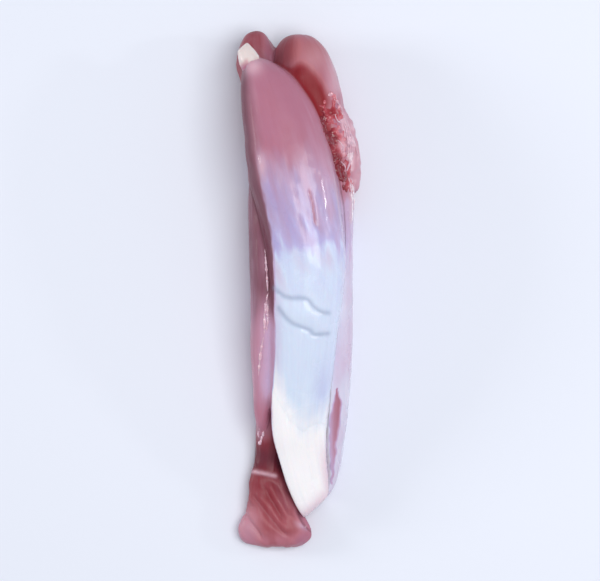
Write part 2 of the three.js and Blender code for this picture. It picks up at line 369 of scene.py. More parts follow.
# what a user would change about the silverskin on the outer head
silverskin = {
    "upperEdge": ((-90, 0, 20, 40, 55, 70, 90, 120, 135, 270), (50, 62, 68, 68, 60, 50, 46, 46, 48, 48)),  # y by turn
    "leftEdge": ((-45, -32, -15, 10, 45), (172, 160, 146, 142, 136)),  # turn by y
    "thickness": ((-40, -28, -5, 4, 12, 16, 30, 40, 48, 62),  # by y
                  (1.08, 1.0, 1.0, 0.96, 0.88, 0.7, 0.54, 0.4, 0.22, 0.12)),
    "lateSide": ((-8, -3, 4, 8, 14), (2, 0, 0, 2, 5)),  # how much nearer the heel it thickens, by x
    "whiteStart": ((-13, -9, -5, -1, 4, 9, 13), (-16, -20, -31, -42, -45, -42, -34)),  # y where tendon starts, by x
    "whiteThickness": 1.5,
    "edgeStep": 0.16,  # how high it stands over bare flesh
    "slant": 22,  # degrees that its fibres are turned by
    "slit": [(4.1, 34.4), (4.7, 31.4), (5.6, 27.4), (5.9, 24), (6.9, 19.9)],  # a short tear
    # a bluer spot, a pinker one and a painted blue-grey shade on the right near the heel: tint, x, y and reach each way
    "tintSpots": [(0.45, -4, 18, 5, 9), (-0.55, 8, 40, 7, 9), (0.5, 8.6, -33, 3.2, 9)],
    # pinker and darker low down on its left side: a lilac tone together with painted shade
    "lowLeftTintAndShade": -0.5,
}


# the same points turned so that y runs down and to the right by that many degrees
def turned(points, degrees):
    c, s = math.cos(math.radians(degrees)), math.sin(math.radians(degrees))
    x, y, z = points.T
    return np.stack([c * x + s * y, c * y - s * x, z], axis=1)


# cover, thickness and tint (-1 pink to 1 blue) of the skin on the outer head
def outerSkin(points, field):
    x, y = points.T[:2]
    turn = field.turn["outerHead"]
    ragged = 3.2 * softNoise(points, 4.6, 11, 0.5) + 1.4 * softNoise(points, 1.6, 12, 0.5)
    upper = np.interp(turn, *silverskin["upperEdge"]) + ragged
    left = np.interp(y, *silverskin["leftEdge"]) + 1.4 * ragged
    cover = smoothStep(-6, 7, upper - y) * smoothStep(-5, 6, left - turn)
    slanting = turned(points, silverskin["slant"])
    streak = softNoise(slanting, 1.7, 13, 0.16)
    late = np.interp(x, *silverskin["lateSide"])
    thickness = np.interp(y - late * bell(y - 8, 22) + 3 * streak, *silverskin["thickness"])
    streaky = (0.06 + 0.16 * bell(y - 22, 12)) * streak * smoothStep(0, 20, y)
    # thinner and more lavender towards both sides low down, which also paints shade on the curved sides
    thickness += streaky - 0.14 * np.abs(field.across["outerHead"]) ** 4 * smoothStep(-44, -30, y)
    start = np.interp(x, *silverskin["whiteStart"])
    white = smoothStep(10, -9, y - start + 3 * softNoise(points, 1.8, 15, 0.12))
    thickness = thickness * (1 - white) + silverskin["whiteThickness"] * white
    slit, share = offLine(x, y, silverskin["slit"])
    torn = bell(slit + 0.2 * softNoise(points, 1.5, 16), 0.32) * smoothStep(0, 0.15, share) * smoothStep(1, 0.75, share)
    tint = sum(amount * oval(x, y, *spot) for amount, *spot in silverskin["tintSpots"])
    tint += silverskin["lowLeftTintAndShade"] * smoothStep(-3, -8, x) * smoothStep(14, 2, y)
    tint += 0.6 * softNoise(slanting, 2.4, 14, 0.2) * smoothStep(-10, 15, y) - 1.2 * torn
    return cover * (1 - 0.8 * torn), thickness, tint * (1 - white)


meatShape = {
    "voxel": 0.5,
    "unevenness": ((0.32, 15), (0.13, 6), (0.05, 2.6)),  # heights and widths of soft lumps
    "deepEndCuts": [(-11.6, 82.6, 42, 14, 38), (-19.2, 84.6, 140, 14, 25)],  # x, y, turn, z and lean of the knife
    # two creases across the outer head's skin and the fold that stands up between them: height, width and line
    "creases": [
        (-0.32, 0.9, [(-7, 1.2), (-4.6, -1.2), (-1.8, -2.2), (1.6, -2.3), (3.8, -3),
                      (5.4, -5), (7.6, -6.6), (10.4, -7)]),
        (-0.32, 1.1, [(-5.6, -5.2), (-3.6, -8.4), (-1, -10.6), (2, -11.8), (4.4, -12.8), (6.2, -14.2), (10.4, -13.8)]),
        (0.24, 2.6, [(-4.4, -4.2), (-0.6, -6.4), (3.2, -7.8), (6.4, -10), (9.6, -10.6)]),
    ],
    "slitDepth": 0.5,  # of the short tear in the skin
    "flapFolds": [[(-15.5, -67), (-12.5, -71), (-8.5, -76), (-4.6, -80.5), (-1.5, -83)],
                  [(-11.5, -64), (-8.6, -69), (-5.6, -74.5), (-3.6, -78)],
                  [(-18, -73), (-15.6, -77), (-12.8, -80.5), (-11, -84)]],  # sunk lines down the flap
    "flapGrain": 42,  # degrees that the flap's grain is turned by
    "neckBand": [(-18, -60), (-12, -60.6), (-7, -61.8)],  # a pale band across the neck of the flap
    "neckPatchY": -55.5,  # a dusky red patch over it
    "innerEdge": ((-90, -50, 0, 40, 90, 200), (20, 24, 30, 32, 26, 20)),  # the inner head's skin ends, y by turn
    "innerThickness": ((-70, -40, 0, 15, 25, 40), (1.0, 1.1, 1.1, 0.85, 0.55, 0.35)),  # by y
    "sliver": [(13.9, -32.8), (13, -40), (12.4, -46), (12.1, -54.6), (11.8, -64)],  # bare flesh beside the tendon
    "sliverWidth": ((0, 0.15, 0.38, 0.55, 0.75, 1), (0.3, 1.5, 1.9, 1.2, 0.9, 0.4)),
    "fasciaEdge": [(17.9, 36.6), (18.5, 33), (18.9, 29), (18.7, 23.5)],  # white fascia down the side below the torn tissue, partly a painted highlight
    "fasciaStrip": [(15.4, 58), (16.9, 53), (17.9, 48), (18.2, 44), (18, 41)],  # pale, beside the torn tissue
    "shadedRedWedge": [(-3, 76.4), (1.8, 72), (5.1, 67.5), (7.5, 62.6), (9.6, 57)],  # deep red between the heads, redder flesh with painted shade
    # oval spots: x, y and reach each way; the sheen spots on the skin and on the inner head's knee end are painted
    # sheen
    "stubFat": (-14, 74, 3, 3), "sheen": (-11, 41, 1.3, 4), "innerSheen": (6, 77, 4, 4),
    "salmon": (5, 78, 7, 8.75), "leftLobe": (-17, -78.5, 5, 6.25),
}


# What the finish reads at each point: film is the skin's thickness, fresh how red the flesh is, with painted
# shade where it is deep red between the parts, warm how salmon, pale how much fat or fascia lies on it, with
# painted sheen, the dusky mask how dusky it is, with painted shade, the two shade masks the painted shade where
# muscles meet and along the creases, and tint the skin's hue, with some painted shade. Ranges are in millimetres.
def meatMasks(points, normals, field):
    x, y, z = points.T
    cover, thickness, tint = outerSkin(points, field)
    patch = softNoise(points, 7, 21, 0.45) + 0.4 * softNoise(points, 2.4, 22, 0.5)
    ragged = 3 * softNoise(points, 3.4, 23, 0.5)
    innerCover = smoothStep(-2, 4, np.interp(field.turn["innerHead"], *meatShape["innerEdge"]) + ragged - y)
    innerFilm = innerCover * np.interp(y, *meatShape["innerThickness"]) * (0.95 + 0.12 * patch)
    sliver, share = offLine(x, y, meatShape["sliver"], smooth=False)
    sliverWidth = np.interp(share, *meatShape["sliverWidth"])
    bare = smoothStep(1.25, 0.5, np.abs(sliver + 0.5 * softNoise(points, 2.4, 25)) / sliverWidth)
    slit = bell(offLine(x, y, silverskin["slit"])[0], 0.35)
    bridge = smoothStep(2, -12, y) * smoothStep(-42, -30, y)  # skin runs over from the head to the flank
    flankTurn, offHead = field.turn["flankMuscle"], field.far["outerHead"]
    film = field.mix({
        "outerHead": np.maximum(cover * thickness, 0.3 * bridge * smoothStep(-4, -12, y)),
        "innerHead": innerFilm * (1 - 0.96 * bare),
        "flankMuscle": 0.08 + 0.08 * patch + 0.12 * smoothStep(6, -10, y) * smoothStep(-40, -28, y)
                       + bridge * (0.34 * smoothStep(130, 70, flankTurn) + 0.2 * smoothStep(2.2, 0.6, offHead)),
        "deepMuscle": smoothStep(-0.7, 1.3, patch + 0.4 - 0.6 * smoothStep(20, 60, y)) * 0.4 * smoothStep(-54, -44, y),
    })
    fringeTone = softNoise(points, 2.2, 24)
    leftLobe = oval(x, y, *meatShape["leftLobe"])
    pastNeck = y - meatShape["neckPatchY"]
    fresh = field.mix({
        "outerHead": 0.02 + 0.06 * patch,
        # redder between the two heads, with painted shade
        "innerHead": 0.1 + 0.4 * smoothStep(60, 72, y) * smoothStep(3, -3, x) + 0.1 * bare,
        "flankMuscle": 0.14 + 0.1 * patch,
        "deepMuscle": 0.4 + 0.2 * smoothStep(60, 78, y) + 0.4 * smoothStep(-46, -52, y),
        "deepEnd": 0.52 - 0.32 * smoothStep(-12.5, -9.5, x) + 0.1 * patch,
        "heelFlap": 0.58 + 0.12 * patch + 0.3 * bell(pastNeck, 4) - 0.42 * leftLobe
                    - 0.3 * smoothStep(-2, 3, x) - 0.22 * smoothStep(-79, -84, y),
        "tornFringe": 0.12 + 0.16 * fringeTone,
    })
    band, _ = offLine(x, y, meatShape["neckBand"], smooth=False)
    pale = np.maximum.reduce([
        0.44 * bell(band, 0.7) * smoothStep(2, 8, z) * smoothStep(-4, -8, x),
        0.5 * oval(x, y, *meatShape["stubFat"]) * smoothStep(17, 21, z),
        # a painted sheen on the skin at the left shoulder
        0.4 * oval(x, y, *meatShape["sheen"]),
        # white fascia down the side on faces that look up, partly a painted highlight
        0.8 * bell(offLine(x, y, meatShape["fasciaEdge"])[0], 1) * smoothStep(0.1, 0.4, normals[:, 2]),
        0.6 * smoothStep(2, 0.9, np.abs(offLine(x, y, meatShape["fasciaStrip"])[0])),
        field.mix({
            "tornFringe": 0.34 + smoothStep(0.1, 0.8, fringeTone) * 0.3,
            "innerHead": 0.34 * smoothStep(8, 13, x) * smoothStep(62, 68, y) * smoothStep(84, 76, y)
                         # with a painted sheen near its knee end
                         + 0.16 * oval(x, y, *meatShape["innerSheen"]),
            "heelFlap": 0.2 * leftLobe,
        }),
    ])
    # painted shade on the sides turned to -x, over the upper flank, in the slit, the sliver and beside the outer head
    shadeAndDusk = field.mix({
        "outerHead": 1.2 * smoothStep(116, 156, field.turn["outerHead"]) * smoothStep(-18, -4, y) + 0.3 * slit,
        "innerHead": 0.55 * smoothStep(60, 70, y) * smoothStep(2, -4, x) + 0.22 * bare,
        "flankMuscle": 0.9 * smoothStep(105, 150, flankTurn) * smoothStep(-30, 0, y) + 0.95 * smoothStep(-15, 2, y),
        # the flap is darker at its neck and top, the deep muscle and the deep end all over
        "heelFlap": bell(pastNeck, 4.5) + 0.3 * smoothStep(-76, -66, y),
        "deepMuscle": 0.4 + 0.6 * bell(pastNeck, 4.5),
        "deepEnd": 0.25,
    })
    onHead, onFringe = field.mix({"outerHead": 1}), field.mix({"tornFringe": 1})
    onInner = field.mix({"innerHead": 1, "tornFringe": 1})
    # redder beside the outer head and between the heads: deeper red flesh with painted shade
    wedge, share = offLine(x, y, meatShape["shadedRedWedge"])
    beside = bell(offHead, 3) * smoothStep(32, 44, y) * smoothStep(84, 77, y)
    wedge = bell(wedge, 3.4) * smoothStep(0, 0.3, share) * smoothStep(1, 0.7, share)
    fresh = np.maximum(fresh, 1.3 * onInner * (beside + wedge - beside * wedge))
    warm = onInner * smoothStep(58, 66, y) * oval(x, y, *meatShape["salmon"]) * (1 - wedge)
    tint = field.mix({"outerHead": tint, "innerHead": -0.55 + 0.3 * patch, "flankMuscle": -1})
    # painted shade along the two creases
    creaseShade = sum(bell(offLine(x, y, line)[0], 0.8) for high, _, line in meatShape["creases"] if high < 0) * onHead
    # no painted shade where muscles meet under the bridge of skin, by the flap's neck or on the fringe
    grooveShade = field.grooveShade * (1 - 0.9 * bridge * smoothStep(0, -4, x))
    grooveShade *= (1 - 0.9 * smoothStep(-44, -50, y) * smoothStep(0, -3, x)) * (1 - 0.8 * onFringe)
    return {"film": film, "fresh": np.clip(fresh, 0, 1), "warm": warm, "pale": pale, "grooveShade": grooveShade,
            "tint": tint, "shadeAndDusk": np.clip(shadeAndDusk, 0, 1), "creaseShade": creaseShade}


# heights in millimetres that are added along the normal
def meatRelief(points, normals, field, masks):
    x, y, z = points.T
    onHead = field.mix({"outerHead": 1}) * smoothStep(0, 0.5, normals[:, 2])
    skinned = smoothStep(0.2, 0.35, masks["film"])
    height = sum(high * softNoise(points, wide, 31 + k) for k, (high, wide) in enumerate(meatShape["unevenness"]))
    height += (0.1 - 0.07 * skinned) * softNoise(field.fibre, 1.5, 34, 0.09)
    blotches = 0.08 * softNoise(points, 1.9, 40, 0.7) + 0.16 * softNoise(points, 3.4, 43, 0.6)
    height += silverskin["edgeStep"] * skinned + blotches * skinned * smoothStep(14, 28, y) * onHead
    for high, wide, line in meatShape["creases"]:
        off, share = offLine(x, y, line)
        height += high * bell(off, wide) * smoothStep(0, 0.15, share) * smoothStep(1, 0.8, share) * onHead
    off, share = offLine(x, y, silverskin["slit"])
    gaping = smoothStep(0, 0.2, share) * smoothStep(1, 0.7, share) * onHead
    height -= meatShape["slitDepth"] * (bell(off, 0.6) - 0.4 * bell(off, 1.5)) * gaping
    streak = softNoise(turned(points, silverskin["slant"]), 1.7, 13, 0.16)
    height += 0.09 * streak * bell(y - 24, 16) * onHead * skinned
    grain = softNoise(turned(points, meatShape["flapGrain"]), 1.9, 35, 0.2)
    height += field.mix({"heelFlap": 0.4 * grain + 0.3 * softNoise(points, 4.5, 38),
                         "tornFringe": 0.8 * softNoise(points, 4, 36) + 0.4 * softNoise(points, 1.9, 37)})
    for line in meatShape["flapFolds"]:
        off, share = offLine(x, y, line)
        fold = 0.9 * bell(off, 0.7) - 0.5 * bell(off - 1.7, 1.3)
        height -= fold * smoothStep(0, 0.2, share) * smoothStep(1, 0.8, share) * smoothStep(2, 7, z)
    band, _ = offLine(x, y, meatShape["neckBand"], smooth=False)
    neck = smoothStep(2, 8, z) * field.mix({"heelFlap": 1, "deepMuscle": 1})
    height += (0.3 * bell(band, 1) - 0.4 * bell(y - meatShape["neckPatchY"], 3.5)) * neck
    return height - 0.5 * smoothStep(1.5, 6, pastStart(points)) * field.mix({"outerHead": 1})


# the points pushed out along their normals, kept over the floor and inside the solids' box
def pushOut(mesh, points, normals, height):
    low, high = ((np.array(corner) / mm + bundleMiddle) for corner in cadBox)
    room = np.minimum(points - low, high - points)[:, :2].min(axis=1)
    height = np.where(height > 0, height * smoothStep(0, 2, room), height)
    movePoints(mesh, np.clip(points + normals * height[:, None], low, high))


# The heel tendon is the strap end of the outer head. Its start slants, with meat running on in the middle.
tendonShape = {
    "startX": (-13, -8, -2, 2, 7, 13), "startY": (-27, -29, -39, -41, -38, -36), "scarf": 0.6, "topHeight": 24,
    "knife": (6.3, -72.6, -47),  # x and y of the slanting knife cut, and the turn of its face from +x
    "voxel": 0.4,
    "sink": 0.35, "underlap": 6,  # its start lies a little lower, and the meat runs on so far under it
}


# how far a point is past the tendon's start
def pastStart(points):
    x, y, z = points.T
    startY = np.interp(x, tendonShape["startX"], tendonShape["startY"])
    return startY - tendonShape["scarf"] * (tendonShape["topHeight"] - z) - y


# how far a point is past the slanting knife cut
def pastCut(points):
    cutX, cutY, turn = tendonShape["knife"]
    return (points[:, 0] - cutX) * math.cos(math.radians(turn)) + (points[:, 1] - cutY) * math.sin(math.radians(turn))


# a block that holds what is past the tendon's start, moved by shift towards the heel
def tendonBlock(shift):
    side, low, high, farY = 60, -30, 60, -160.0  # well past the tendon all round
    left, right = tendonShape["startX"][0], tendonShape["startX"][-1]
    x = np.concatenate([[-side], np.linspace(left, right, 27), [side]])
    startY = np.interp(x, tendonShape["startX"], tendonShape["startY"]) - shift
    rows = []
    for height in (low, high):
        slope = tendonShape["scarf"] * (height - tendonShape["topHeight"])
        rows += [np.stack([x, startY + slope, np.full(len(x), height)], axis=1),
                 np.stack([x, np.full(len(x), farY), np.full(len(x), height)], axis=1)]
    n = len(x)
    faces = []
    for k in range(n - 1):
        lowFront, lowBack, highFront, highBack = (k + n * row for row in range(4))
        faces += [(lowFront, lowFront + 1, lowBack + 1, lowBack), (highFront, highBack, highBack + 1, highFront + 1),
                  (lowFront, highFront, highFront + 1, lowFront + 1), (lowBack, lowBack + 1, highBack + 1, highBack)]
    faces += [(0, n, 3 * n, 2 * n), (n - 1, 3 * n - 1, 4 * n - 1, 2 * n - 1)]
    return newPiece("block", [(np.concatenate(rows), faces)])


# a block that holds everything past a knife cut through (x, y, z), facing turn from +x and leaning back by lean
def pastKnife(x, y, turn, z=15, lean=0, size=60):
    corners = np.array(list(itertools.product((0, size), (-size / 2, size / 2), (-size / 2, size / 2))))
    corners = corners @ np.array(Euler((0, -math.radians(lean), math.radians(turn))).to_matrix()).T + (x, y, z)
    faces = [(0, 1, 3, 2), (4, 6, 7, 5), (0, 4, 5, 1), (2, 3, 7, 6), (0, 2, 6, 4), (1, 5, 7, 3)]
    return newPiece("knife", [(corners, faces)])


def discard(*pieces):
    for piece in pieces:
        mesh = piece.data
        bpy.data.objects.remove(piece)
        bpy.data.meshes.remove(mesh)


def shapeOf(piece):
    return pointsOf(piece.data), [tuple(face.vertices) for face in piece.data.polygons]


def makeTendon():
    tendon = newPiece("heelTendon", [spindle(muscles["outerHead"])])
    block, knife = tendonBlock(0), pastKnife(*tendonShape["knife"])
    cutBy(tendon, block, "INTERSECT")
    cutBy(tendon, knife)
    discard(block, knife)
    melt(tendon, tendonShape["voxel"])
    relax(tendon.data, 0.5, rounds=4)
    relax(tendon.data, 0.5 * bell(pastCut(pointsOf(tendon.data)), 3), rounds=60)  # the knife cut is rounded off
    points, normals = pointsOf(tendon.data), normalsOf(tendon.data)
    y = points[:, 1]
    field = Field(points)
    cover, thickness, tint = outerSkin(points, field)
    # painted shade, pinker and darker, down its right edge and round its cut
    edgeShade = np.maximum(smoothStep(62, 18, field.turn["outerHead"]) * smoothStep(-44, -60, y), bell(pastCut(points), 3))
    tint -= 0.75 * edgeShade
    height = 0.22 * softNoise(points, 9, 41) + 0.1 * softNoise(field.fibre, 1.3, 42, 0.08) + silverskin["edgeStep"]
    height -= tendonShape["sink"] * smoothStep(tendonShape["underlap"], 0, pastStart(points))
    pushOut(tendon.data, points, normals, height)
    writeMasks(tendon.data, field.fibre, {"film": cover * thickness, "tint": tint})
    return tendon


def makeMeat(tendon):
    end = newPiece("deepEnd", [spindle(muscles["deepEnd"])])
    for cut in meatShape["deepEndCuts"]:
        knife = pastKnife(*cut)
        cutBy(end, knife)
        discard(knife)
    others = [spindle(muscle) for name, muscle in muscles.items() if name not in ("outerHead", "deepEnd")]
    under = newPiece("under", [shapeOf(end)] + others)
    discard(end)
    melt(under, meatShape["voxel"])
    cutBy(under, tendon)
    head, block = newPiece("head", [spindle(muscles["outerHead"])]), tendonBlock(tendonShape["underlap"])
    cutBy(head, block)
    meat = melt(newPiece("shankMeat", [shapeOf(under), shapeOf(head)]), meatShape["voxel"])
    discard(under, head, block)
    relax(meat.data, 0.5, rounds=6)
    x, y, z = pointsOf(meat.data).T
    # smoothed over where the deep muscle meets the flap, where the flank meets the head, and under the fringe
    neck = smoothStep(-42, -50, y) * smoothStep(0, -3, x)
    shoulder = smoothStep(-42, -30, y) * smoothStep(62, 50, y) * smoothStep(-5, -8.5, x) * smoothStep(25, 21, z)
    fringe = smoothStep(8, 13, x) * smoothStep(28, 36, y) * smoothStep(74, 68, y) * smoothStep(16, 12, z)
    relax(meat.data, 0.5 * np.maximum.reduce([neck, shoulder, fringe]), rounds=50)
    points, normals = pointsOf(meat.data), normalsOf(meat.data)
    field = Field(points)
    masks = meatMasks(points, normals, field)
    pushOut(meat.data, points, normals, meatRelief(points, normals, field, masks))
    writeMasks(meat.data, field.fibre, masks)
    return meat


# The tendon stub at the knee end, cut off at a slant.
stubShape = {
    "spine": [(-17.4, 82.6, 23), (-16.2, 78.4, 24.2), (-14.4, 73.6, 24.2), (-11.6, 67.5, 22)],
    "halfWidth": 3.9, "halfHeight": 2.7, "fullest": 0.62, "squareness": 2.2, "unevenness": 1.5, "seed": 6,
    "knee": (1.9, 0.62), "heel": (2, 0.5), "grid": (60, 48),
    "knife": (-18.2, 80.4, 135),  # x, y and turn
    "voxel": 0.25,
}


def makeStub():
    stub = newPiece("kneeTendon", [spindle(stubShape)])
    knife = pastKnife(*stubShape["knife"])
    cutBy(stub, knife)
    discard(knife)
    melt(stub, stubShape["voxel"])
    relax(stub.data, 0.5, rounds=36)  # its corners are soft
    points, normals = pointsOf(stub.data), normalsOf(stub.data)
    height = 0.16 * softNoise(points, 3, 51) + 0.1 * softNoise(points, 0.9, 52, 0.3)
    pushOut(stub.data, points, normals, height)
    x, y = points.T[:2]
    film = 1.5 * smoothStep(73.4, 77.6, y - 0.25 * (x + 16) + 0.8 * softNoise(points, 1.6, 53))
    writeMasks(stub.data, points, {"film": film})
    return stub


# Torn tissue down the fringe: wet lumps of cut muscle on the meat.
tornShape = {
    "reach": (33, 66),  # from y to y
    "leftEdge": ((33, 36, 42, 48, 54, 60, 66), (15.4, 14, 11, 9.4, 8, 7.4, 9.4)),  # x by y
    "rightEdge": ((33, 36, 42, 48, 54, 60, 66), (18.6, 19.4, 18, 16.4, 15.4, 14.6, 12.6)),
    "offHead": 0.15,  # it stays this far off the outer head
    "density": 0.8, "lumpRadius": (0.35, 1.6), "seed": 11,  # lumps on a square millimetre
    "sink": 0.55, "voxel": 0.26,
    "reddest": (12.4, 57.5, 3, 6), "palest": (14.5, 48, 2.2, 2.2),  # x, y and reach each way
    "redLowY": 41,
}


# a new Geometry Nodes tree with named inputs and one output, and the sockets that give its inputs' values
def newTree(name, inputs, result):
    tree = bpy.data.node_groups.new(name, "GeometryNodeTree")
    for socket, kind in inputs.items():
        tree.interface.new_socket(socket, in_out="INPUT", socket_type="NodeSocket" + kind)
    tree.interface.new_socket(result, in_out="OUTPUT", socket_type="NodeSocketGeometry")
    return tree, addNode(tree, "NodeGroupInput").outputs


# the end of every such tree
def endTree(tree, geometry, material):
    real = addNode(tree, "GeometryNodeRealizeInstances", {"Geometry": geometry})
    dressed = addNode(tree, "GeometryNodeSetMaterial", {"Geometry": real, "Material": material})
    addNode(tree, "NodeGroupOutput", {0: dressed})
    return tree


# a node tree that scatters small rounded lumps over a patch of faces
def lumpTree():
    tree, given = newTree("scatterLumps", {
        "Patch": "Geometry", "Density": "Float", "Smallest": "Float", "Largest": "Float",
        "Seed": "Int", "Flesh": "Material"}, "Lumps")
    spots = addNode(tree, "GeometryNodeDistributePointsOnFaces", {
        "Mesh": given["Patch"], "Density": given["Density"], "Seed": given["Seed"]})
    size = addNode(tree, "FunctionNodeRandomValue", {
        0: given["Smallest"], 1: given["Largest"], "Seed": given["Seed"]}, data_type="FLOAT_VECTOR")
    turn = addNode(tree, "FunctionNodeRandomValue", {
        1: (math.tau, math.tau, math.tau), "Seed": given["Seed"]}, data_type="FLOAT_VECTOR")
    ball = addNode(tree, "GeometryNodeMeshIcoSphere", {"Radius": 1, "Subdivisions": 2})
    placed = addNode(tree, "GeometryNodeInstanceOnPoints", {
        "Points": spots, "Instance": ball, "Scale": size, "Rotation": turn})
    return endTree(tree, placed, given["Flesh"])


# runs a node tree on a piece, with its inputs set by name, and keeps the plain mesh
def growBy(piece, tree, values):
    step = piece.modifiers.new(tree.name, "NODES")
    step.node_group = tree
    for socket in tree.interface.items_tree:
        if socket.name in values:
            step[socket.identifier] = values[socket.name]
    return bake(piece)


def makeTornTissue(meat, flesh):
    points, normals = pointsOf(meat.data), normalsOf(meat.data)
    x, y = points.T[:2]
    low, high = tornShape["reach"]
    inside = ((x > np.interp(y, *tornShape["leftEdge"])) & (x < np.interp(y, *tornShape["rightEdge"]))
              & (y > low) & (y < high) & (normals[:, 2] > 0.1))
    inside[inside] = Field(points[inside]).far["outerHead"] > tornShape["offHead"]
    faces = [tuple(face.vertices) for face in meat.data.polygons if all(inside[k] for k in face.vertices)]
    torn = newPiece("tornTissue", [(points - tornShape["sink"] * normals, faces)])
    smallest, largest = tornShape["lumpRadius"]
    growBy(torn, lumpTree(), {"Density": tornShape["density"] / mm ** 2, "Smallest": smallest * mm,
                              "Largest": largest * mm, "Seed": tornShape["seed"], "Flesh": flesh})
    melt(torn, tornShape["voxel"])
    relax(torn.data, 0.5, rounds=6)
    points, normals = pointsOf(torn.data), normalsOf(torn.data)
    x, y = points.T[:2]
    pushOut(torn.data, points, normals, 0.14 * softNoise(points, 1.2, 61) + 0.06 * softNoise(points, 0.6, 64))
    # pinker towards its outer edge and its top, deep red with painted shade beside the outer head
    edge = np.maximum(smoothStep(-3.5, 0, x - np.interp(y, *tornShape["rightEdge"])), smoothStep(58, 65, y))
    beside = smoothStep(4.6, 1, Field(points).far["outerHead"])
    palest = oval(x, y, *tornShape["palest"])
    fresh = (0.5 + 0.4 * softNoise(points, 3, 63) - 0.3 * edge + 0.5 * beside + 0.3 * bell(y - tornShape["redLowY"], 3)
             + 0.35 * oval(x, y, *tornShape["reddest"]) - 0.25 * palest)
    pale = 0.4 * smoothStep(0.2, 1, softNoise(points, 2.4, 62) + 0.25 * edge + 0.5 * palest) * (1 - beside)
    writeMasks(torn.data, points, {"fresh": np.clip(fresh, 0, 1), "pale": pale, "shadeAndDusk": 0.4 * beside})
    torn.data.materials.append(flesh)
    return torn


# Threads of fascia laid on the meat. Each group has a radius, how much it beads, its lift, and lines seen from above.
threadShape = {
    "groups": {
        "flank": (0.4, 0.75, -0.05, [
            [(-10.4, 14), (-9.8, 7), (-9.4, 0)], [(-9.3, -0.5), (-10, -4), (-10.4, -7.5)],
            [(-10.6, -7), (-10.4, -11), (-10.7, -14.5)], [(-10.8, -15), (-11.6, -19), (-12.2, -24), (-12.6, -28)],
            [(-9.8, -3), (-9.4, -9), (-9.9, -13)]]),
        "neckTuft": (0.5, 0.8, -0.1, [
            [(-12.3, -45.6), (-12.7, -47.4), (-12.4, -49.2)], [(-11.5, -48.2), (-11.9, -50), (-12.8, -51.4)],
            [(-11, -46.6), (-11.2, -48.4)]]),
        "tornStrands": (0.22, 0.5, 0.05, [
            [(12.4, 63.6), (14.4, 61.4), (16.2, 57.6), (17.4, 53.8)], [(18.6, 52), (19.6, 48.4), (20.6, 44.6)],
            [(12.6, 58.6), (13.6, 56.4), (15.4, 55.6)], [(13.6, 50), (15, 48.6), (15.6, 46)],
            [(14.6, 43), (16, 41.4), (16.4, 38.6)]]),
        "strip": (0.52, 0.45, 0.1, [
            [(15.6, 56), (16.6, 52.4), (17.2, 48), (17, 44)],
            [(16.3, 55.4), (17.4, 51.6), (17.9, 47), (17.5, 42.6), (16.6, 39.8)],
            [(17, 55), (18.2, 51), (18.6, 47), (18.2, 43)], [(17.8, 53), (18.9, 49.4), (19.2, 46)]]),
        "sideFascia": (0.42, 0.5, -0.12, [
            [(17.6, 37), (18.2, 33), (18.6, 28.5), (18.5, 23)], [(18.4, 36), (19, 32), (19.2, 27)]]),
    },
    "seed": 12, "sides": 8, "beadLength": 1.6,
    "steps": 70,  # points along a thread
    "tautness": 8,  # how many times a thread is drawn straighter over dips
    "mostAbove": 0.4,  # how far it may then stand off the meat
}


# a node tree that gives drawn lines a round section of uneven girth
def threadTree():
    tree, given = newTree("growThreads", {
        "Lines": "Geometry", "Bead Length": "Float", "Sides": "Int", "Seed": "Int", "Fascia": "Material"}, "Threads")
    radius = addNode(tree, "GeometryNodeInputNamedAttribute", {"Name": "radius"})
    beading = addNode(tree, "GeometryNodeInputNamedAttribute", {"Name": "beading"})
    curves = addNode(tree, "GeometryNodeMeshToCurve", {"Mesh": given["Lines"]})
    place = addNode(tree, "GeometryNodeInputPosition")
    cells = addNode(tree, "ShaderNodeMath", {0: 1, 1: given["Bead Length"]}, operation="DIVIDE")
    noise = addNode(tree, "ShaderNodeTexNoise", {
        "Vector": place, "W": given["Seed"], "Scale": cells, "Detail": 1}, noise_dimensions="4D")
    swell = addNode(tree, "ShaderNodeMapRange", {0: noise, 1: 0.3, 2: 0.7, 3: -1, 4: 1})
    uneven = addNode(tree, "ShaderNodeMath", {0: swell, 1: beading, 2: 1}, operation="MULTIPLY_ADD")
    girth = addNode(tree, "ShaderNodeMath", {0: uneven, 1: radius}, operation="MULTIPLY")
    section = addNode(tree, "GeometryNodeCurvePrimitiveCircle", {"Resolution": given["Sides"], "Radius": 1})
    tube = addNode(tree, "GeometryNodeCurveToMesh", {
        "Curve": curves, "Profile Curve": section, "Scale": girth, "Fill Caps": True})
    return endTree(tree, tube, given["Fascia"])


# a drawn line let down onto what is below it, and pulled taut over dips; in metres, in the frame
def letDown(line, trees):
    path = []
    overAll, ifNone = 0.1, 0.01  # where the rays start, and the height where a line's first ray hits nothing
    for x, y in smoothLine(line, threadShape["steps"]) * mm - bundleMiddle[:2] * mm:
        hits = [hit for hit in (tree.ray_cast((x, y, overAll), (0, 0, -1))[0] for tree in trees) if hit]
        path.append((x, y, max((hit.z for hit in hits), default=path[-1][2] if path else ifNone)))
    path = np.array(path)
    for _ in range(threadShape["tautness"]):
        path[1:-1] = (path[:-2] + path[1:-1] + path[2:]) / 3
    return path


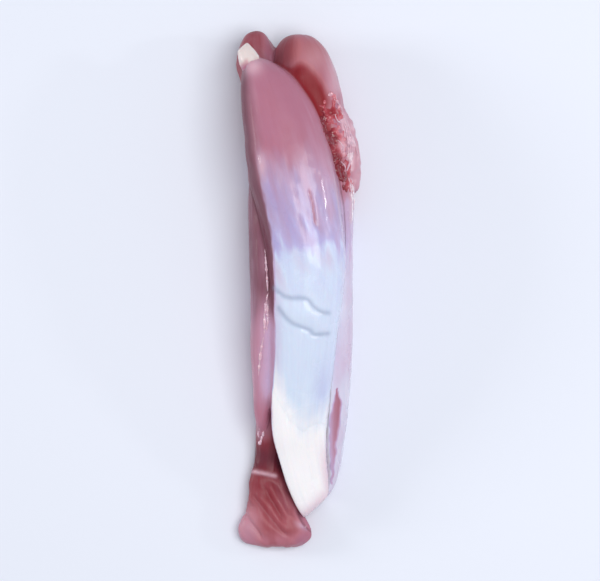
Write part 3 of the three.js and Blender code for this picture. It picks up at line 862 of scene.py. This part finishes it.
def makeThreads(grounds, fascia):
    scene = bpy.context.evaluated_depsgraph_get()
    trees = [bvhtree.BVHTree.FromObject(ground, scene) for ground in grounds]
    points, edges, radii, beading = [], [], [], []
    for radius, beads, lift, lines in threadShape["groups"].values():
        for path in (letDown(line, trees) for line in lines):
            for k, place in enumerate(path):
                nearest = min((tree.find_nearest(place.tolist()) for tree in trees), key=lambda found: found[3])
                near, facing = np.array(nearest[0]), np.array(nearest[1])
                above = max(0, (place - near) @ facing)
                points.append(near + facing * (min(above, threadShape["mostAbove"] * mm) + lift * mm))
                # both ends thin out
                radii.append(radius * mm * max(0.08, math.sin(math.pi * (k + 0.5) / len(path)) ** 0.6))
                beading.append(beads)
                if k:
                    edges.append((len(points) - 2, len(points) - 1))
    mesh = bpy.data.meshes.new("fasciaThreads")
    mesh.from_pydata(np.array(points).tolist(), edges, [])
    writeMask(mesh, "radius", np.array(radii))
    writeMask(mesh, "beading", np.array(beading))
    threads = bpy.data.objects.new("fasciaThreads", mesh)
    bpy.context.scene.collection.objects.link(threads)
    growBy(threads, threadTree(), {"Bead Length": threadShape["beadLength"] * mm, "Sides": threadShape["sides"],
                                   "Seed": threadShape["seed"], "Fascia": fascia})
    points = pointsOf(threads.data)
    x, y = points.T[:2]
    pushOut(threads.data, points, normalsOf(threads.data), np.zeros(len(points)))
    pale = 0.62 + 0.25 * softNoise(points, 2, 71) + 0.3 * smoothStep(40, 34, y) * smoothStep(-4, 0, x)
    writeMasks(threads.data, points, {"pale": np.clip(pale, 0, 1)})
    return threads


# raw muscle under silverskin: moist and satiny, rose where it is bare, lilac to pearl white under skin
meatFinish = {
    "fleshSteps": [(0, "B4748A"), (0.14, "B27084"), (0.3, "B66E7C"), (0.5, "A4545E"), (0.75, "962C36"), (1, "860012")],
    "warmest": "FFF0D8",  # what salmon flesh takes out of the rose
    "filmSteps": [(0, "B27A8E"), (0.2, "B892AC"), (0.36, "BAA4C8"), (0.5, "C0B6DE"),
                  (0.58, "D2DAF2"), (0.7, "DAE6F8"), (0.85, "EEF1FA"), (1, "FFFBFC")],
    "thickestFilm": 1.5,  # the skin's thickness at the last of these
    # the pink and blue tints and the dusky colour also paint shade, and the creases' colour is painted shade
    "pinkTint": "D0A2BC", "blueTint": "ACA6DE", "creaseShade": "8C9CB8",
    "fatPink": "DDB2C0", "fat": "F6ECEE", "dusky": "5A2434",
    "fibreWidth": 1.6, "fibreLength": 20, "mottle": 11, "grain": 0.45,  # millimetres
    "roughness": (0.46, 0.27),  # bare and skinned
    "wetness": (0.08, 0.55),  # the clear coat of juice, bare and skinned
    "bump": 0.1, "grainBump": 0.02,  # millimetres
}
# tendon: dense white collagen, smooth and moist with fine fibres along it
tendonFinish = dict(meatFinish, fibreWidth=0.9, fibreLength=24, roughness=(0.34, 0.24), bump=0.08)

# the knee stub's cut collagen is creamier and pinker than the heel tendon's
stubFinish = dict(tendonFinish, filmSteps=[(0, "B48090"), (0.35, "CCA2A8"), (0.7, "DECAC6"), (1, "E6D8D4")])
# freshly torn muscle: redder, wetter and lumpier than the skinned sides
tornFinish = dict(meatFinish, fleshSteps=[(0, "D89CA8"), (0.3, "CC707C"), (0.65, "B43E4A"), (1, "8A1424")],
                  fibreWidth=0.8, fibreLength=2, roughness=(0.2, 0.2), bump=0.15, wetness=(0.7, 0.55))
# threads of connective tissue: pink-white, wet and shining
fasciaFinish = dict(tornFinish, fatPink="DEB4C4", fat="FAF0F4", roughness=(0.16, 0.16), bump=0.05)


# lays colours over a base in turn, each at most so strongly and as far as its value has come from low to high
def layOver(tree, base, layers):
    for value, low, high, most, colour in layers:
        amount = addNode(tree, "ShaderNodeMapRange", {0: value, 1: low, 2: high, 4: most})
        base = addNode(tree, "ShaderNodeMix", {0: amount, 6: base, 7: colour}, data_type="RGBA")
    return base


def makeTissue(name, finish):
    material = bpy.data.materials.new(name)
    material.use_nodes = True
    tree = material.node_tree
    tree.nodes.clear()
    film, fresh, warm, pale, grooveShade, tint, shadeAndDusk, creaseShade = (
        addNode(tree, "ShaderNodeAttribute", attribute_name=mask).outputs["Fac"]
        for mask in ("film", "fresh", "warm", "pale", "grooveShade", "tint", "shadeAndDusk", "creaseShade"))
    fibre = addNode(tree, "ShaderNodeAttribute", attribute_name="fibre").outputs["Vector"]
    spread = (1 / finish["fibreWidth"], 1 / finish["fibreLength"], 1 / finish["fibreWidth"])
    stretched = addNode(tree, "ShaderNodeMapping", {"Vector": fibre, "Scale": spread})
    fibres = addNode(tree, "ShaderNodeTexNoise", {"Vector": stretched, "Scale": 1, "Detail": 3})
    place = addNode(tree, "ShaderNodeTexCoord").outputs["Object"]
    mottle = addNode(tree, "ShaderNodeTexNoise", {"Vector": place, "Scale": 1 / (finish["mottle"] * mm), "Detail": 3})
    grain = addNode(tree, "ShaderNodeTexNoise", {"Vector": place, "Scale": 1 / (finish["grain"] * mm * 2), "Detail": 2})

    # mottling and fibres vary how red the flesh is, and fibres how thick the skin looks
    patchy = addNode(tree, "ShaderNodeMapRange", {0: mottle, 1: 0.35, 2: 0.65, 3: -0.05, 4: 0.06})
    stringy = addNode(tree, "ShaderNodeMapRange", {0: fibres, 1: 0.35, 2: 0.7, 3: -0.03, 4: 0.05})
    redness = addNode(tree, "ShaderNodeMath", {0: fresh, 1: patchy}, operation="ADD")
    redness = addNode(tree, "ShaderNodeMath", {0: redness, 1: stringy}, operation="ADD")
    strands = addNode(tree, "ShaderNodeMapRange", {0: fibres, 1: 0.3, 2: 0.7, 3: -0.04, 4: 0.04})
    depth = addNode(tree, "ShaderNodeMath", {0: strands, 1: film}, operation="ADD")
    thickness = addNode(tree, "ShaderNodeMapRange", {0: depth, 2: finish["thickestFilm"]})
    flesh = addNode(tree, "ShaderNodeValToRGB", {0: redness})
    skin = addNode(tree, "ShaderNodeValToRGB", {0: thickness})
    for ramp, steps in ((flesh, finish["fleshSteps"]), (skin, finish["filmSteps"])):
        marks = ramp.color_ramp.elements
        for k, (share, colour) in enumerate(steps):
            mark = marks[k] if k < 2 else marks.new(share)
            mark.position, mark.color = share, linear(colour)

    flesh = addNode(tree, "ShaderNodeMix", {0: warm, 6: flesh, 7: finish["warmest"]}, data_type="RGBA",
                    blend_type="MULTIPLY")
    skin = layOver(tree, skin, [(tint, 0, -1, 0.7, finish["pinkTint"]), (tint, 0, 1, 0.6, finish["blueTint"])])
    # dusky tone and painted shade, the skin, fat and fascia with painted sheen, then painted shade along the creases
    # and where muscles meet
    colour = layOver(tree, flesh, [
        (shadeAndDusk, 0, 1, 0.8, finish["dusky"]), (depth, 0.03, 0.45, 1, skin),
        (pale, 0, 0.6, 1, finish["fatPink"]), (pale, 0.7, 1, 1, finish["fat"]),
        (creaseShade, 0, 1, 0.5, finish["creaseShade"]), (grooveShade, 0.6, 1, 0.7, finish["dusky"])])

    bareRough, skinRough = finish["roughness"]
    bareWet, skinWet = finish["wetness"]
    rough = addNode(tree, "ShaderNodeMapRange", {0: depth, 1: 0.1, 2: 0.6, 3: bareRough, 4: skinRough})
    dryness = addNode(tree, "ShaderNodeMapRange", {0: mottle, 1: 0.3, 2: 0.7, 3: -0.07, 4: 0.07})
    rough = addNode(tree, "ShaderNodeMath", {0: rough, 1: dryness}, operation="ADD")
    wet = addNode(tree, "ShaderNodeMapRange", {0: depth, 1: 0.1, 2: 0.5, 3: bareWet, 4: skinWet})
    fatWet = addNode(tree, "ShaderNodeMapRange", {0: pale, 1: 0.2, 2: 0.6})
    wet = addNode(tree, "ShaderNodeMath", {0: wet, 1: fatWet}, operation="MAXIMUM")
    fine = addNode(tree, "ShaderNodeBump", {"Height": fibres, "Distance": finish["bump"] * mm, "Strength": 1})
    surface = addNode(tree, "ShaderNodeBump", {
        "Height": grain, "Distance": finish["grainBump"] * mm, "Strength": 1, "Normal": fine})
    shader = addNode(tree, "ShaderNodeBsdfPrincipled", {
        "Base Color": colour, "Roughness": rough, "Normal": surface, "IOR": 1.4,
        "Subsurface Weight": 0.12, "Subsurface Radius": (1, 0.4, 0.3), "Subsurface Scale": 2 * mm,
        "Coat Weight": wet, "Coat Roughness": 0.1, "Coat IOR": 1.4,
    })
    addNode(tree, "ShaderNodeOutputMaterial", {"Surface": shader})
    return material


heelTendon = makeTendon()
print("heel tendon made:", len(heelTendon.data.vertices), "points")
meat = makeMeat(heelTendon)
print("meat made:", len(meat.data.vertices), "points")
kneeTendon = makeStub()
print("knee tendon made:", len(kneeTendon.data.vertices), "points")
tornLook = makeTissue("wetTornMuscle", tornFinish)
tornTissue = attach(makeTornTissue(meat, tornLook), "root")
print("torn tissue made:", len(tornTissue.data.vertices), "points")
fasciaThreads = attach(makeThreads([meat, tornTissue], makeTissue("wetFascia", fasciaFinish)), "root")
print("fascia threads made:", len(fasciaThreads.data.vertices), "points")
for piece, node, slot in ((meat, "meat", "raw_meat"), (heelTendon, "heel_tendon", "tendon"),
                          (kneeTendon, "knee_tendon_stub", "tendon")):
    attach(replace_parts(piece, node), "root")

meat.data.materials.append(makeTissue("moistMuscleAndSilverskin", meatFinish))
heelTendon.data.materials.append(makeTissue("moistWhiteTendon", tendonFinish))
kneeTendon.data.materials.append(makeTissue("moistIvoryTendon", stubFinish))
print("finishes made")

# a plain pale floor under soft studio light, and the camera straight above with the knee end up
studio = {
    "floor": "E8ECF6", "floorRoughness": 0.6, "floorHalfSize": 2000,  # millimetres
    "world": "F3F6FF", "worldStrength": 0.42,
    "viewHeight": 192, "lens": 200, "picture": (600, 581),  # millimetres, and the picture's pixels
    "sharpHeight": 0.02,  # metres over the floor, where the view is that high
    "aim": (0, 0, 0.015),  # what the lights face
    "lights": {  # place and size in metres, and watts
        "overhead": ((0.27, 0.03, 0.87), 0.6, 5.1),
        "leftStrip": ((-0.7, 0.12, 0.26), 0.22, 1.7),
        "rightStrip": ((0.7, 0.1, 0.3), 0.05, 0.5),
    },
}

half, ground = studio["floorHalfSize"], bundleMiddle[2]
floorCorners = np.array([(-half, -half, ground), (half, -half, ground), (half, half, ground), (-half, half, ground)])
floor = newPiece("floor", [(floorCorners, [(0, 1, 2, 3)])])
floorLook = bpy.data.materials.new("paleMattFloor")
floorLook.use_nodes = True
floorShader = floorLook.node_tree.nodes["Principled BSDF"]
floorShader.inputs["Base Color"].default_value = linear(studio["floor"])
floorShader.inputs["Roughness"].default_value = studio["floorRoughness"]
floor.data.materials.append(floorLook)

for name, (place, size, power) in studio["lights"].items():
    data = bpy.data.lights.new(name, "AREA")
    data.size, data.energy = size, power
    light = bpy.data.objects.new(name, data)
    light.location = place
    light.rotation_euler = (Vector(studio["aim"]) - light.location).to_track_quat("-Z", "Y").to_euler()
    bpy.context.scene.collection.objects.link(light)

world = bpy.data.worlds.new("softRoom")
world.use_nodes = True
world.node_tree.nodes["Background"].inputs[0].default_value = linear(studio["world"])
world.node_tree.nodes["Background"].inputs[1].default_value = studio["worldStrength"]
bpy.context.scene.world = world
bpy.context.scene.view_settings.view_transform = "Standard"

camera = bpy.data.objects.new("camera", bpy.data.cameras.new("camera"))
camera.data.lens = studio["lens"]
pictureWide, pictureHigh = studio["picture"]
frameWidth = studio["viewHeight"] * mm * pictureWide / pictureHigh
camera.location = (0, 0, frameWidth * camera.data.lens / camera.data.sensor_width + studio["sharpHeight"])
camera.data.clip_start, camera.data.clip_end = 0.01, 20
bpy.context.scene.collection.objects.link(camera)
bpy.context.scene.camera = camera
print("studio set")
